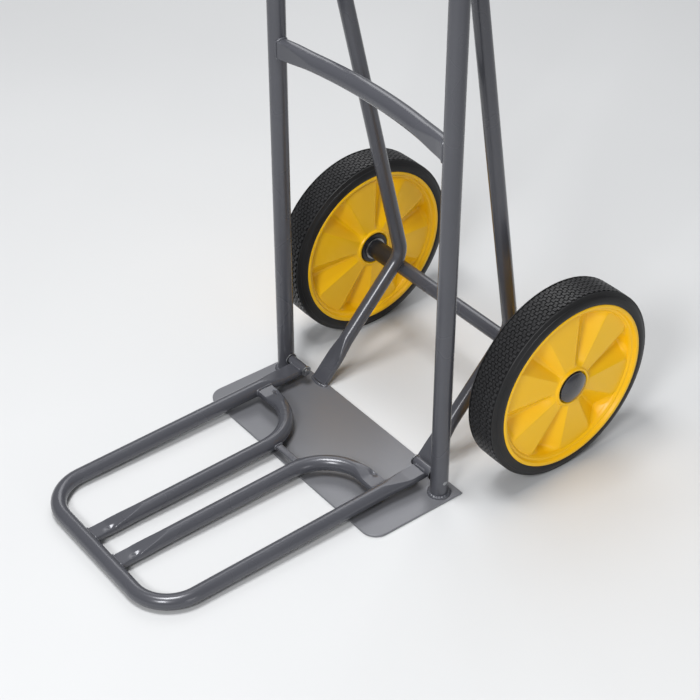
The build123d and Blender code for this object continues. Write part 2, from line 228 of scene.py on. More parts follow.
# Powder coat on steel tube: a satin grey skin whose slight orange peel softens long highlights.
TUBE_COAT = Finish("powder_coated_steel_tube", "4B4C52", "525359", roughness=0.27,
                   roughness_spread=0.03, metallic=0.22, mottle_mm=90, grain_mm=1.6,
                   grain_depth_mm=0.010, wave_mm=30, wave_depth_mm=0.02, coat=0.15, coat_roughness=0.16,
                   wear_shade="8C8E94", wear=0.4)
# The same coat on flat sheet, with its colour painted paler than on the tube as painted light, standing in
# for the light that the whole upturned face catches.
PLATE_COAT_PAINTED_LIT = Finish("powder_coated_steel_sheet_painted_lit", "6F7075", "747579", roughness=0.37,
                    roughness_spread=0.02, metallic=0.22, mottle_mm=160, grain_mm=1.6,
                    grain_depth_mm=0.010, wave_mm=90, wave_depth_mm=0.02, wear_shade="9A9CA2", wear=0.5)
# Bright zinc plate on washers and pins: a cold, slightly cloudy metal.
ZINC_PLATE = Finish("zinc_plated_steel", "8A8C90", "A4A5A6", roughness=0.34, roughness_spread=0.08,
                    metallic=1.0, mottle_mm=8, grain_mm=0.7, grain_depth_mm=0.01, wave_mm=6,
                    wave_depth_mm=0.02, wear_shade="D8D8D8", wear=0.5)
# Moulded polypropylene in strong yellow: satin gloss, with faint flow marks from the mould.
RIM_YELLOW = Finish("moulded_yellow_polypropylene", "FFC400", "FFC906", roughness=0.33,
                    roughness_spread=0.03, ior=1.49, mottle_mm=90, grain_mm=1.2, grain_depth_mm=0.003,
                    wave_mm=40, wave_depth_mm=0.02, specular=0.4)
# Vulcanised solid rubber: near black and dull, with a dusty bloom on the raised blocks.
TYRE_RUBBER = Finish("vulcanised_solid_rubber", "151516", "1C1C1D", roughness=0.46,
                     roughness_spread=0.07, ior=1.52, mottle_mm=35, grain_mm=0.8, grain_depth_mm=0.02,
                     wave_mm=9, wave_depth_mm=0.04, wear_shade="48484A", wear=0.8, specular=0.3)
# Glossy charcoal nylon on the domed caps: shows a tight highlight on the crown.
CAP_NYLON = Finish("glossy_charcoal_nylon", "2C2D33", "323339", roughness=0.16, roughness_spread=0.02,
                   ior=1.53, mottle_mm=30, grain_mm=0.6, grain_depth_mm=0.003, wave_mm=12,
                   wave_depth_mm=0.005, coat=0.6, coat_roughness=0.06)
# Moulded nylon: black and satin, on bushes and spacers.
BLACK_NYLON = Finish("moulded_black_nylon", "1C1D21", "232429", roughness=0.36, roughness_spread=0.04,
                     ior=1.53, mottle_mm=30, grain_mm=0.6, grain_depth_mm=0.006, wave_mm=12,
                     wave_depth_mm=0.02, wear_shade="45464A", wear=0.3, specular=0.4)
# Soft moulded rubber on the handles: matt, with a pebbled skin.
GRIP_SKIN = Finish("moulded_grip_rubber", "1D1D1E", "262627", roughness=0.66, roughness_spread=0.06,
                   mottle_mm=25, grain_mm=1.1, grain_depth_mm=0.07, wave_mm=14, wave_depth_mm=0.05,
                   wear_shade="454546", wear=0.6, specular=0.4)
# Flat paint on the studio floor: even and pale.
FLOOR_PAINT = Finish("white_floor_paint", "CDCECF", "D1D2D3", roughness=0.75, roughness_spread=0.03,
                     mottle_mm=400, grain_mm=3, grain_depth_mm=0.01)


class Paint:
    """Builds each finish once and hands out its material."""

    made: dict[str, bpy.types.Material] = {}

    @classmethod
    def of(cls, finish: Finish) -> bpy.types.Material:
        """Return the material of a finish, building it the first time."""
        if finish.name not in cls.made:
            cls.made[finish.name] = finish.build()
        return cls.made[finish.name]


SLOT_FINISH = {Slot.TUBE: TUBE_COAT, Slot.PLATE: PLATE_COAT_PAINTED_LIT, Slot.ZINC: ZINC_PLATE, Slot.RIM: RIM_YELLOW,
               Slot.TYRE: TYRE_RUBBER, Slot.NYLON: BLACK_NYLON, Slot.GRIP: GRIP_SKIN}


# ---------------------------------------------------------------------------------------------------------
# Mesh helpers


def add_piece(name: str, points: np.ndarray, faces: Sequence[Sequence[int]], slot: Slot, body: Body,
              replaces: Iterable[str] = (), crease_deg: float = 32.0,
              finish: Finish | None = None) -> bpy.types.Object:
    """Make one visible piece and let it ride on its body.

    Args:
        name: Name of the piece.
        points: Corner positions in metres, one row each.
        faces: Corner numbers of each face.
        slot: Material slot, which also picks the finish.
        body: Rigid body that the piece moves with.
        replaces: Plain solids that the piece stands for.
        crease_deg: Edges that turn by more than this stay sharp.
        finish: Finish, where it isn't the slot's usual one.

    Returns:
        The new object.
    """
    mesh = bpy.data.meshes.new(name)
    mesh.from_pydata([tuple(p) for p in np.asarray(points, float)], [],
                     [tuple(int(i) for i in f) for f in faces])
    shape = bmesh.new()
    shape.from_mesh(mesh)
    bmesh.ops.remove_doubles(shape, verts=shape.verts, dist=0.002 * MM)
    bmesh.ops.recalc_face_normals(shape, faces=shape.faces)
    shape.to_mesh(mesh)
    shape.free()
    mesh.validate()
    mesh.polygons.foreach_set("use_smooth", [True] * len(mesh.polygons))
    mesh.set_sharp_from_angle(angle=math.radians(crease_deg))
    mesh.materials.append(Paint.of(finish or SLOT_FINISH[slot]))
    piece = bpy.data.objects.new(name, mesh)
    bpy.context.scene.collection.objects.link(piece)
    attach(piece, body.value)
    stood_for = list(replaces)
    if stood_for:
        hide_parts(*stood_for)
    LOG.info("%s: %d points, %d faces, rides on %s", name, len(mesh.vertices), len(mesh.polygons), body.value)
    return piece


def grid_faces(rows: int, columns: int, rows_close: bool, flip: bool = False) -> list[tuple]:
    """Quads of a grid whose columns close round.

    Args:
        rows: Number of rings.
        columns: Points in each ring.
        rows_close: Whether the last ring joins the first.
        flip: Whether to turn the faces over.

    Returns:
        The quads.
    """
    faces = []
    for i in range(rows if rows_close else rows - 1):
        a, b = i * columns, (i + 1) % rows * columns
        for j in range(columns):
            k = (j + 1) % columns
            quad = (a + j, a + k, b + k, b + j)
            faces.append(quad[::-1] if flip else quad)
    return faces


def end_caps(rows: int, columns: int) -> list[tuple]:
    """Faces that close the first and the last ring of a grid."""
    last = (rows - 1) * columns
    return [tuple(range(columns))[::-1], tuple(last + j for j in range(columns))]


def revolved(profile: Sequence[tuple[float, float]], centre: Vector, side: int = 1,
             columns: int = 72) -> tuple[np.ndarray, list[tuple]]:
    """Turn a closed profile about a line along X.

    Args:
        profile: Closed outline of (station, radius), anticlockwise with the station to the right.
        centre: Point on the line that stations are measured from.
        side: 1 to keep the station's direction, or -1 to mirror it.
        columns: Points round.

    Returns:
        Points and quads.
    """
    turn = np.linspace(0, 2 * math.pi, columns, endpoint=False)
    rings = [np.stack([np.full(columns, centre.x + side * x), centre.y + r * np.sin(turn),
                       centre.z + r * np.cos(turn)], 1) for x, r in profile]
    return np.concatenate(rings), grid_faces(len(profile), columns, True, flip=side < 0)


def eased(profile: Sequence[tuple[float, float]], radius: float, steps: int = 4) -> list[tuple[float, float]]:
    """Round every corner of a closed profile.

    Args:
        profile: Closed outline.
        radius: Wanted radius, limited where a side is short.
        steps: Points on each rounded corner.

    Returns:
        The rounded outline.
    """
    points = [np.array(p, float) for p in profile]
    out: list[tuple[float, float]] = []
    for k, here in enumerate(points):
        before, after = points[k - 1] - here, points[(k + 1) % len(points)] - here
        length_a, length_b = np.linalg.norm(before), np.linalg.norm(after)
        reach = min(radius, 0.45 * length_a, 0.45 * length_b)
        start, end = here + before / length_a * reach, here + after / length_b * reach
        for t in np.linspace(0, 1, steps):
            out.append(tuple((1 - t) ** 2 * start + 2 * t * (1 - t) * here + t ** 2 * end))
    return out


# ---------------------------------------------------------------------------------------------------------
# Bent tube


@dataclass
class Route:
    """Centre line of a bent tube: straight runs joined by tangent arcs.

    Attributes:
        corners: Points that the straight runs aim at.
        radius: Bend radius.
        step: Spacing of stations on the straight runs.
        turn_step_deg: Spacing of stations round the bends.
    """

    corners: Sequence[Sequence[float]]
    radius: float
    step: float = 4 * MM
    turn_step_deg: float = 3.0

    def stations(self) -> tuple[np.ndarray, np.ndarray, np.ndarray]:
        """Walk the line.

        Returns:
            Positions, unit directions, and the distance run at each station.
        """
        corners = [np.array(c, float) for c in self.corners]
        places: list[np.ndarray] = [corners[0]]
        for before, here, after in zip(corners, corners[1:], corners[2:]):
            into, out = before - here, after - here
            into, out = into / np.linalg.norm(into), out / np.linalg.norm(out)
            turn = math.pi - math.acos(float(np.clip(into @ out, -1, 1)))
            start = here + into * self.radius * math.tan(turn / 2)
            inward = into + out
            hub = here + inward / np.linalg.norm(inward) * self.radius / math.cos(turn / 2)
            self._straight(places, start)
            first = start - hub
            across = -into - first * float(-into @ first) / float(first @ first)
            across = across / np.linalg.norm(across) * self.radius
            count = max(3, math.ceil(math.degrees(turn) / self.turn_step_deg))
            places.extend(hub + first * math.cos(a) + across * math.sin(a)
                          for a in np.linspace(0, turn, count + 1)[1:])
        self._straight(places, corners[-1])
        line = np.array(places)
        ahead = np.gradient(line, axis=0)
        ahead[0], ahead[-1] = line[1] - line[0], line[-1] - line[-2]
        ahead /= np.linalg.norm(ahead, axis=1)[:, None]
        run = np.concatenate([[0], np.cumsum(np.linalg.norm(np.diff(line, axis=0), axis=1))])
        return line, ahead, run

    def _straight(self, places: list[np.ndarray], end: np.ndarray) -> None:
        """Add evenly spaced stations from the last place up to this end."""
        start = places[-1]
        count = max(1, math.ceil(float(np.linalg.norm(end - start)) / self.step))
        places.extend(start + (end - start) * t for t in np.linspace(0, 1, count + 1)[1:])


@dataclass(frozen=True)
class Press:
    """A tube end squeezed between flat dies.

    Attributes:
        flat: Length of the flat stretch.
        scoop: Length over which the flat faces run out into the round tube.
        thickness: Thickness across the flat.
        width: Width of the flattened stretch.
        dimple: Depth of the notch that the die leaves in the crease.
        dimple_side: Which edge the notch is on, 1 or -1.
        dimple_lead: From the end of the flat to the notch's deepest point.
        dimple_run: Reach of the notch along the tube, each way.
        dimple_place: Share of the half width at which the notch is deepest.
        dimple_spread: Reach of the notch across the tube, as a share of the half width.
    """

    flat: float
    scoop: float
    thickness: float
    width: float
    dimple: float = 0.0
    dimple_side: int = 1
    dimple_lead: float = 1 * MM
    dimple_run: float = 8 * MM
    dimple_place: float = 0.6
    dimple_spread: float = 0.42


@dataclass(frozen=True)
class Cylinder:
    """A round bar that a tube's end is shaped to: a point on its axis, the axis, and its radius."""

    point: tuple[float, float, float]
    axis: tuple[float, float, float]
    radius: float

    def first_touch(self, start: np.ndarray, along: np.ndarray) -> float:
        """Find how far a point travels before it meets the bar.

        Args:
            start: Where the point is.
            along: Unit direction of travel.

        Returns:
            The distance to the surface, or to the nearest approach where it passes by.
        """
        axis = np.array(self.axis) / np.linalg.norm(self.axis)
        offset = start - np.array(self.point)
        offset = offset - axis * (offset @ axis)
        across = along - axis * (along @ axis)
        a, b, c = across @ across, 2 * across @ offset, offset @ offset - self.radius ** 2
        inside = b * b - 4 * a * c
        return float((-b - math.sqrt(inside)) / (2 * a)) if inside > 0 else float(-b / (2 * a))


@dataclass
class Tube:
    """A bent round tube with pressed or shaped ends.

    Attributes:
        name: Name of the piece.
        route: Centre line.
        diameter: Outside diameter.
        flat_normal: Direction that pressed faces look in.
        start_press: How the first end is squeezed, if it is.
        end_press: How the last end is squeezed, if it is.
        start_cope: Bar that the first end is shaped to.
        end_cope: Bar that the last end is shaped to.
        around: Points round the section.
    """

    name: str
    route: Route
    diameter: float
    flat_normal: tuple[float, float, float] = (0, 0, 1)
    start_press: Press | None = None
    end_press: Press | None = None
    start_cope: Cylinder | None = None
    end_cope: Cylinder | None = None
    around: int = 56
    rings: np.ndarray = field(default_factory=lambda: np.zeros(0), init=False)

    def _squeeze(self, press: Press | None, gap: float, turn: np.ndarray) -> tuple[float, np.ndarray]:
        """Shape one section near a pressed end.

        Args:
            press: The squeeze at that end.
            gap: Distance from the end to the section.
            turn: Angles round the section.

        Returns:
            Half the width, and the height at each angle.
        """
        radius = self.diameter / 2
        height = radius * np.sin(turn)
        if press is None or gap > press.flat + press.scoop:
            return radius, height
        share = max(0.0, (gap - press.flat) / press.scoop)
        ease = share * share * (3 - 2 * share)
        half_width = press.width / 2 * (1 - ease) + radius * ease
        limit = press.thickness / 2 + (radius - press.thickness / 2) * share
        height = np.clip(height, -limit, limit)
        if press.dimple:
            # The notch is a small pyramid on the crease, over one edge of the flat.
            along = max(0.0, 1 - abs(gap - press.flat - press.dimple_lead) / press.dimple_run)
            off = np.abs(np.cos(turn) * press.dimple_side - press.dimple_place)
            across = np.clip(1 - off / press.dimple_spread, 0, 1) * (np.sin(turn) > 0)
            height = height - press.dimple * along * across
        return half_width, height

    def build(self, slot: Slot, body: Body, replaces: Iterable[str] = ()) -> bpy.types.Object:
        """Make the tube.

        Args:
            slot: Material slot.
            body: Rigid body that it rides on.
            replaces: Plain solids that it stands for.

        Returns:
            The tube's object.
        """
        line, ahead, run = self.route.stations()
        turn = np.linspace(0, 2 * math.pi, self.around, endpoint=False)
        wide = np.cross(np.array(self.flat_normal, float), ahead[0])
        rings = []
        for place, along, gone in zip(line, ahead, run):
            wide = wide - along * (wide @ along)
            wide = wide / np.linalg.norm(wide)
            up = np.cross(along, wide)
            near_start = self.start_press and gone < run[-1] / 2
            press, gap = (self.start_press, gone) if near_start else (self.end_press, run[-1] - gone)
            half, height = self._squeeze(press, gap, turn)
            rings.append(place + np.outer(half * np.cos(turn), wide) + np.outer(height, up))
        if self.start_cope:
            rings[0] = np.array([p - ahead[0] * self.start_cope.first_touch(p, -ahead[0]) for p in rings[0]])
        if self.end_cope:
            rings[-1] = np.array([p + ahead[-1] * self.end_cope.first_touch(p, ahead[-1]) for p in rings[-1]])
        self.rings = np.array(rings)
        points = np.concatenate([*rings, [rings[0].mean(0)], [rings[-1].mean(0)]])
        faces = grid_faces(len(rings), self.around, False)
        first, last, base = len(points) - 2, len(points) - 1, (len(rings) - 1) * self.around
        for j in range(self.around):
            k = (j + 1) % self.around
            faces.append((first, k, j))
            faces.append((last, base + j, base + k))
        return add_piece(self.name, points, faces, slot, body, replaces)


@dataclass
class Bead:
    """A weld bead along a seam, with the overlapping ripples of a hand-run weld.

    Attributes:
        name: Name of the piece.
        seam: Points along the seam.
        closed: Whether the seam joins up.
        radius: Half the bead's width.
        ripple: Spacing of the ripples.
        around: Points round the bead.
        step: Spacing of the rings.
        trough: Share of the radius that the bead has between two ripples.
        swell: Share of the radius that a ripple's crest adds.
        wander: Share of the radius by which the hand drifts.
        taper: Run over which an open end thins out.
    """

    name: str
    seam: np.ndarray
    closed: bool = True
    radius: float = 2.3 * MM
    ripple: float = 2.6 * MM
    around: int = 10
    step: float = 0.65 * MM
    trough: float = 0.86
    swell: float = 0.26
    wander: float = 0.18
    taper: float = 1.6 * MM

    def build(self, body: Body) -> bpy.types.Object:
        """Make the bead and let it ride on its body."""
        seam = np.asarray(self.seam, float)
        if self.closed:
            seam = np.vstack([seam, seam[:1]])
        run = np.concatenate([[0], np.cumsum(np.linalg.norm(np.diff(seam, axis=0), axis=1))])
        count = max(8, int(run[-1] / self.step))
        even = np.linspace(0, run[-1], count, endpoint=not self.closed)
        line = np.stack([np.interp(even, run, seam[:, k]) for k in range(3)], 1)
        if self.closed:
            ahead = np.roll(line, -1, 0) - np.roll(line, 1, 0)
        else:
            ahead = np.gradient(line, axis=0)
        ahead /= np.linalg.norm(ahead, axis=1)[:, None] + 1e-12
        chance = np.random.default_rng(len(self.name) * 97 + count)
        knots = max(4, count // 8)
        drift = np.interp(np.arange(count), np.linspace(0, count - 1, knots),
                          chance.uniform(-self.wander, self.wander, knots))
        phase = (even / self.ripple) % 1.0
        size = self.radius * (self.trough + self.swell * np.sqrt(np.clip(1 - phase, 0, 1)) + drift)
        if not self.closed:
            size = size * np.clip(np.minimum(even, run[-1] - even) / self.taper + 0.25, 0, 1)
        turn = np.linspace(0, 2 * math.pi, self.around, endpoint=False)
        # Any direction will do that no seam starts along.
        wide = np.cross(ahead[0], (0.31, 0.57, 0.76))
        rings = []
        for place, along, radius in zip(line, ahead, size):
            wide = wide - along * (wide @ along)
            wide = wide / np.linalg.norm(wide)
            up = np.cross(along, wide)
            rings.append(place + radius * (np.outer(np.cos(turn), wide) + np.outer(np.sin(turn), up)))
        points, faces = np.concatenate(rings), grid_faces(count, self.around, self.closed)
        points[:, 2] = np.maximum(points[:, 2], 0.0)
        if not self.closed:
            faces += end_caps(count, self.around)
        return add_piece(self.name, points, faces, Slot.TUBE, body, crease_deg=60)


def level_ring(centre: Sequence[float], radius: float, count: int = 48) -> np.ndarray:
    """Points of a level circle, anticlockwise from +X.

    Args:
        centre: Centre.
        radius: Radius.
        count: Number of points.

    Returns:
        The points.
    """
    turn = np.radians(np.linspace(0, 360, count, endpoint=False))
    ring = np.stack([radius * np.cos(turn), radius * np.sin(turn), np.zeros(count)], 1)
    return ring + np.array(centre, float)


# ---------------------------------------------------------------------------------------------------------
# Places in the frame


def middle(node: str) -> Vector:
    """Middle of a plain solid's box."""
    low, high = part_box(node)
    return (low + high) / 2


def joint_place(name: str) -> Vector:
    """Where a joint's axis passes, from the record."""
    return Vector(next(j["pos_m"] for j in frame["joints"] if j["name"] == name))


def turned(name: str, profile: Sequence[tuple[float, float]], centre: Vector, slot: Slot, body: Body,
           replaces: Iterable[str] = (), side: int = 1, edge: float = 0.35 * MM,
           columns: int = 72, finish: Finish | None = None) -> bpy.types.Object:
    """Make a piece that is turned about a line along X, with eased edges.

    Args:
        name: Name of the piece.
        profile: Closed outline of (station, radius), both from the centre.
        centre: Point on the axis.
        slot: Material slot.
        body: Rigid body that it rides on.
        replaces: Plain solids that it stands for.
        side: 1 for the right-hand piece, or -1 for its mirror image.
        edge: Radius of the eased edges.
        columns: Points round.
        finish: Finish, where it isn't the slot's usual one.

    Returns:
        The piece.
    """
    points, faces = revolved(eased(profile, edge) if edge else profile, centre, side, columns)
    return add_piece(name, points, faces, slot, body, replaces, finish=finish)


@dataclass(frozen=True)
class Layout:
    """Main places and sizes, read from the frame."""

    upright_x: float
    upright_r: float
    plate_top: float
    hinge: Vector
    wheel_x: float
    wheel_r: float
    wheel_width: float
    axle_y: float
    axle_r: float
    axle_end: float

    @classmethod
    def read(cls) -> "Layout":
        """Measure the frame's own boxes."""
        upright_low, upright_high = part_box("right_upright")
        tyre_low, tyre_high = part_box("right_tyre")
        axle_low, axle_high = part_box("axle_tube")
        wheel = joint_place("right_wheel_spin")
        return cls((upright_low.x + upright_high.x) / 2, (upright_high.x - upright_low.x) / 2,
                   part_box("toe_plate")[1].z, joint_place("rack_fold"), wheel.x,
                   (tyre_high.z - tyre_low.z) / 2, tyre_high.x - tyre_low.x, wheel.y, (axle_high.z - axle_low.z) / 2, axle_high.x)


# ---------------------------------------------------------------------------------------------------------
# Frame


@dataclass
class Uprights:
    """The two uprights with their swept-back handles and rubber grips.

    Attributes:
        lay: Main places.
        bend_height: Floor to the corner of the handle bend.
        bend_radius: Radius of that bend.
        lean_deg: How far the handle leans back.
        handle: From the corner of the bend to the end of the tube.
        grip_radius: Outside of the grip between its ribs' crests.
        grip_length: Whole length of the grip.
        grip_end: Rubber beyond the end of the tube.
        collar_radius: Outside of the hand stop.
        collar_length: Length of the hand stop.
        collar_round: Radius of the hand stop's edges.
        ribs: Number of finger ribs.
        rib_depth: How deep the valleys between ribs are.
        rib_lead: Plain grip between the hand stop and the first rib.
        rib_tail: Plain grip after the last rib.
        end_round: Radius of the grip's closed end.
        tube_gap: Clearance inside the grip at the tube's end.
        weld_gap: Middle of the foot's bead outside the tube.
        weld_radius: Half the width of the foot's bead.
        weld_ripple: Spacing of that bead's ripples.
    """

    lay: Layout
    bend_height: float = 970 * MM
    bend_radius: float = 75 * MM
    lean_deg: float = 58.0
    handle: float = 215 * MM
    grip_radius: float = 16 * MM
    grip_length: float = 122 * MM
    grip_end: float = 5 * MM
    collar_radius: float = 20 * MM
    collar_length: float = 6 * MM
    collar_round: float = 1.6 * MM
    ribs: int = 15
    rib_depth: float = 1.3 * MM
    rib_lead: float = 10 * MM
    rib_tail: float = 16 * MM
    end_round: float = 5 * MM
    tube_gap: float = 0.2 * MM
    weld_gap: float = 0.6 * MM
    weld_radius: float = 3.2 * MM
    weld_ripple: float = 3.4 * MM

    def build(self) -> None:
        """Build both sides."""
        for name, side in SIDES.items():
            x = side * self.lay.upright_x
            along = Vector((0, math.sin(math.radians(self.lean_deg)), math.cos(math.radians(self.lean_deg))))
            corner = Vector((x, 0, self.bend_height))
            tip = corner + along * self.handle
            foot = Vector((x, 0, self.lay.plate_top))
            Tube(f"{name}_upright_tube", Route([foot, corner, tip], self.bend_radius, 12 * MM),
                 2 * self.lay.upright_r, (1, 0, 0)).build(Slot.TUBE, Body.FRAME, [f"{name}_upright"])
            Bead(f"{name}_upright_foot_weld", level_ring(foot, self.lay.upright_r + self.weld_gap),
                 radius=self.weld_radius, ripple=self.weld_ripple).build(Body.FRAME)
            self._grip(name, tip, along)

    def _grip(self, name: str, tip: Vector, along: Vector) -> None:
        """Build one ribbed grip over the end of a handle."""
        start, bore = self.grip_end - self.grip_length, self.lay.upright_r
        collar_end, soft = start + self.collar_length, self.collar_round
        profile = [(start, bore), (start + self.tube_gap, self.collar_radius - 1.5 * MM),
                   (start + soft, self.collar_radius), (collar_end - soft, self.collar_radius),
                   (collar_end, self.collar_radius - soft), (collar_end + 1.5 * MM, self.grip_radius)]
        # Each rib as shares of the pitch and of the valley's depth.
        valley = ((0.0, 0.0), (0.14, 0.35), (0.26, 0.9), (0.38, 1.0), (0.5, 0.9), (0.62, 0.35), (0.74, 0.0))
        first, last = collar_end + self.rib_lead, self.grip_end - self.rib_tail
        pitch = (last - first) / self.ribs
        for k in range(self.ribs):
            for share, drop in valley:
                profile.append((first + pitch * (k + share), self.grip_radius - self.rib_depth * drop))
        for turn in np.linspace(0, math.pi / 2, 7):
            profile.append((self.grip_end - self.end_round + self.end_round * math.sin(turn),
                            self.grip_radius - self.end_round + self.end_round * math.cos(turn)))
        profile += [(self.grip_end, 0.0), (self.tube_gap, 0.0), (self.tube_gap, bore)]
        points, faces = revolved(profile, Vector((0, 0, 0)), 1, 64)
        turn = Vector((1, 0, 0)).rotation_difference(along).to_matrix()
        points = points @ np.array(turn).T + np.array(tip)
        add_piece(f"{name}_ribbed_grip", points, faces, Slot.GRIP, Body.FRAME, [f"{name}_grip"])


@dataclass
class CrossBars:
    """Three bowed bars whose ends are squeezed and welded to the uprights.

    Attributes:
        lay: Main places.
        diameter: Tube diameter.
        peak: How far back the two slopes would meet.
        bow_radius: Radius of the long bow.
        press: How the ends are squeezed.
        end_gap: From the end of the centre line to the upright, which the shaped end then closes.
        weld_radius: Half the width of the beads.
    """

    lay: Layout
    diameter: float = 22 * MM
    peak: float = 26 * MM
    bow_radius: float = 690 * MM
    press: Press = Press(9 * MM, 44 * MM, 14 * MM, 26 * MM)
    end_gap: float = 0.5 * MM
    weld_radius: float = 1.7 * MM

    def build(self) -> None:
        """Build the three bars and their six welds."""
        for node in ("lower_crossbar", "middle_crossbar", "upper_crossbar"):
            z = middle(node).z
            end = self.lay.upright_x - self.lay.upright_r - self.end_gap
            route = Route([(-end, 0, z), (0, self.peak, z), (end, 0, z)], self.bow_radius, 3 * MM, 0.5)
            copes = [Cylinder((side * self.lay.upright_x, 0, z), (0, 0, 1), self.lay.upright_r)
                     for side in (-1, 1)]
            bar = Tube(f"{node}_bar", route, self.diameter, (0, 1, 0), self.press, self.press, *copes)
            bar.build(Slot.TUBE, Body.FRAME, [node])
            for name, ring in (("left", bar.rings[0]), ("right", bar.rings[-1])):
                Bead(f"{node}_{name}_weld", ring, radius=self.weld_radius).build(Body.FRAME)


@dataclass
class Braces:
    """Rear braces from the toe plate over the axle and up to the uprights.

    Attributes:
        lay: Main places.
        diameter: Tube diameter.
        spacer_gap: From the brace to the axle's spacer.
        foot_setback: Middle of the foot behind the uprights' plane.
        bend_radius: Radius of the bend over the axle.
        top_angle_deg: Where the brace lies round the upright, from its inner side to the rear.
        top_bite: How deep the brace sits in its notch.
        press: How the foot is squeezed.
        foot_weld_gap: Middle of the foot's bead in front of and behind the flat.
        axle_weld: Half the width and half the length of the bead on the axle.
        top_weld: Half the width and half the length of the bead on the upright.
        weld_radius: Half the width of the beads on the axle and the upright.
    """

    lay: Layout
    diameter: float = 19 * MM
    spacer_gap: float = 1 * MM
    foot_setback: float = 17 * MM
    bend_radius: float = 32 * MM
    top_angle_deg: float = 20.0
    top_bite: float = 1.5 * MM
    press: Press = Press(33 * MM, 36 * MM, 6.5 * MM, 26 * MM, 1.6 * MM, 1)
    foot_weld_gap: float = 0.5 * MM
    axle_weld: tuple[float, float] = (5 * MM, 6.5 * MM)
    top_weld: tuple[float, float] = (4 * MM, 12 * MM)
    weld_radius: float = 2.2 * MM

    def build(self) -> None:
        """Build both braces with their welds."""
        radius = self.diameter / 2
        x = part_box("right_axle_spacer")[0].x - self.spacer_gap - radius
        run, rise = self.lay.axle_y - self.foot_setback, self.lay.wheel_r - self.lay.plate_top
        distance, stand = math.hypot(run, rise), radius + self.lay.axle_r
        climb = math.atan2(rise, run) + math.asin(stand / distance)
        touch_run = math.sqrt(distance ** 2 - stand ** 2)
        around, reach = math.radians(self.top_angle_deg), self.lay.upright_r + radius - self.top_bite
        along = Vector((0, math.cos(climb), math.sin(climb)))
        square = Vector((0, -math.sin(climb), math.cos(climb)))
        foot = Vector((x, self.foot_setback, self.lay.plate_top))
        top = Vector((self.lay.upright_x - reach * math.cos(around), reach * math.sin(around),
                      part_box("right_brace")[1].z))
        half_turn = along.angle(top - (foot + along * touch_run)) / 2
        bend = foot + along * (touch_run + self.bend_radius * math.tan(half_turn))
        touch = foot + along * touch_run - square * radius
        for name, side in SIDES.items():
            across = Vector((side, 1, 1))
            corners = [foot * across, bend * across, top * across]
            brace = Tube(f"{name}_brace_tube", Route(corners, self.bend_radius), self.diameter, square,
                         replace(self.press, dimple_side=side))
            brace.build(Slot.TUBE, Body.FRAME, [f"{name}_brace"])
            turn = np.linspace(0, 2 * math.pi, 40, endpoint=False)
            print_y = self.press.thickness / 2 / math.sin(climb) + self.foot_weld_gap
            seam = np.stack([side * x + self.press.width / 2 * np.cos(turn),
                             foot.y + print_y * np.sin(turn), np.full(len(turn), foot.z)], 1)
            Bead(f"{name}_brace_foot_weld", seam).build(Body.FRAME)
            wide, long = self.axle_weld
            pad = [touch * across + Vector((math.cos(t), 0, 0)) * wide + along * math.sin(t) * long
                   for t in turn]
            Bead(f"{name}_brace_axle_weld", np.array(pad), radius=self.weld_radius).build(Body.FRAME)
            self._top_weld(name, side, top)

    def _top_weld(self, name: str, side: int, top: Vector) -> None:
        """Build the bead down both sides of the joint with the upright."""
        axis = Vector((self.lay.upright_x, 0, 0))
        out = Vector((top.x, top.y, 0)) - axis
        out.normalize()
        beside = Vector((-out.y, out.x, 0))
        place = axis + out * (self.lay.upright_r + 0.4 * MM) + Vector((0, 0, top.z))
        wide, long = self.top_weld
        seam = [place + beside * wide * math.sin(t) - Vector((0, 0, long)) * (1 - math.cos(t))
                for t in np.linspace(-math.pi * 0.9, math.pi * 0.9, 40)]
        Bead(f"{name}_brace_top_weld", np.array([(side * p.x, p.y, p.z) for p in seam]), False,
             self.weld_radius).build(Body.FRAME)


@dataclass
class Axle:
    """Axle tube with the spacers, washers and push-on rings that hold the wheels.

    Attributes:
        lay: Main places.
        wall: Wall of the axle tube.
    """

    lay: Layout
    wall: float = 2.5 * MM

    def build(self) -> None:
        """Build the axle and what is threaded on it."""
        centre = Vector((0, self.lay.axle_y, self.lay.wheel_r))
        end, outer = self.lay.axle_end, self.lay.axle_r
        tube = [(-end, outer - self.wall), (end, outer - self.wall), (end, outer), (-end, outer)]
        turned("axle_tube_drawn", tube[::-1], centre, Slot.TUBE, Body.FRAME, ["axle_tube"], columns=64)
        slots = {"axle_spacer": Slot.NYLON, "axle_washer": Slot.ZINC, "axle_ring": Slot.ZINC}
        for part, slot in slots.items():
            low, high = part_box(f"right_{part}")
            rim = (high.z - low.z) / 2
            ring = [(low.x, outer), (low.x, rim), (high.x, rim), (high.x, outer)]
            for name, side in SIDES.items():
                turned(f"{name}_{part}_turned", ring, centre, slot, Body.FRAME, [f"{name}_{part}"], side,
                       0.4 * MM)


